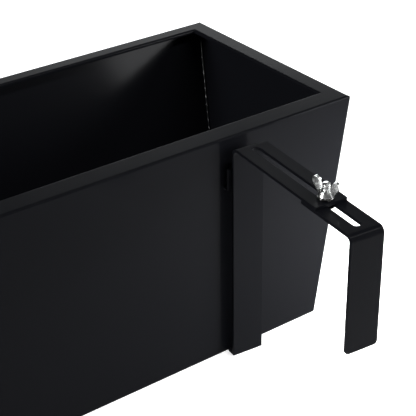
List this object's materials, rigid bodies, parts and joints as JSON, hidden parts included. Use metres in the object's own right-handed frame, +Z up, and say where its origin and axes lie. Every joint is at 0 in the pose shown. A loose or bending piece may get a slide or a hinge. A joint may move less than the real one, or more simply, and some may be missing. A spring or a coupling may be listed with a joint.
{
  "type": "window box planter",
  "caption": "Long folded steel trough with a leaning front and inturned rim, hung on a railing by adjustable clamp brackets with wing nuts.",
  "frame": {"origin": "centre of the trough's flat underside", "axes": "+X along the trough, +Z up, the wall with the brackets faces -Y"},
  "size_m": [0.5996, 0.3686, 0.211],
  "materials": {
    "black_coat": "satin black powder coat",
    "zinc_plate": "dull zinc plate"
  },
  "bodies": {
    "trough": {"trough_sheet": "black_coat", "end_panel_right": "black_coat", "end_panel_left": "black_coat", "weld_front_right": "black_coat", "weld_front_left": "black_coat", "weld_back_right": "black_coat", "weld_back_left": "black_coat", "weld_bottom_right": "black_coat", "weld_bottom_left": "black_coat", "hanger_right": "black_coat", "hanger_left": "black_coat"},
    "bracket_right": {"bracket_right": "black_coat", "bracket_foot_right": "black_coat", "bracket_tongue_right": "black_coat"},
    "washer_right": {"washer_right": "zinc_plate"},
    "bolt_right": {"clamp_bolt_right": "zinc_plate"},
    "hook_right": {"hook_right": "black_coat"},
    "nut_right": {"wing_nut_right": "zinc_plate"},
    "bracket_left": {"bracket_left": "black_coat", "bracket_foot_left": "black_coat", "bracket_tongue_left": "black_coat"},
    "washer_left": {"washer_left": "zinc_plate"},
    "bolt_left": {"clamp_bolt_left": "zinc_plate"},
    "hook_left": {"hook_left": "black_coat"},
    "nut_left": {"wing_nut_left": "zinc_plate"}
  },
  "joints": [
    {"name": "bracket_swing_right", "type": "hinge", "parent": "trough", "child": "bracket_right", "pos_m": [0.1883, -0.06922, 0.17], "axis": [0, 0, 1], "range_deg": [0, 10.8]},
    {"name": "clamp_slide_right", "type": "slide", "parent": "bracket_right", "child": "washer_right", "axis": [0.0941, 0.9956, 0], "range_m": [0, 0.05]},
    {"name": "hook_swivel_right", "type": "hinge", "parent": "washer_right", "child": "bolt_right", "pos_m": [0.17807, -0.17742, 0.1931], "axis": [0, 0, 1], "range_deg": [-90, 90]},
    {"name": "hook_slide_right", "type": "slide", "parent": "bolt_right", "child": "hook_right", "axis": [0.0941, 0.9956, 0], "range_m": [0, 0.0325]},
    {"name": "wing_nut_spin_right", "type": "hinge", "parent": "bolt_right", "child": "nut_right", "pos_m": [0.17807, -0.17742, 0.1931], "axis": [0, 0, 1], "continuous": true},
    {"name": "bracket_swing_left", "type": "hinge", "parent": "trough", "child": "bracket_left", "pos_m": [-0.1883, -0.06922, 0.17], "axis": [0, 0, -1], "range_deg": [0, 10.8]},
    {"name": "clamp_slide_left", "type": "slide", "parent": "bracket_left", "child": "washer_left", "axis": [-0.0941, 0.9956, 0], "range_m": [0, 0.05]},
    {"name": "hook_swivel_left", "type": "hinge", "parent": "washer_left", "child": "bolt_left", "pos_m": [-0.17807, -0.17742, 0.1931], "axis": [0, 0, -1], "range_deg": [-90, 90]},
    {"name": "hook_slide_left", "type": "slide", "parent": "bolt_left", "child": "hook_left", "axis": [-0.0941, 0.9956, 0], "range_m": [0, 0.0325]},
    {"name": "wing_nut_spin_left", "type": "hinge", "parent": "bolt_left", "child": "nut_left", "pos_m": [-0.17807, -0.17742, 0.1931], "axis": [0, 0, -1], "continuous": true}
  ]
}
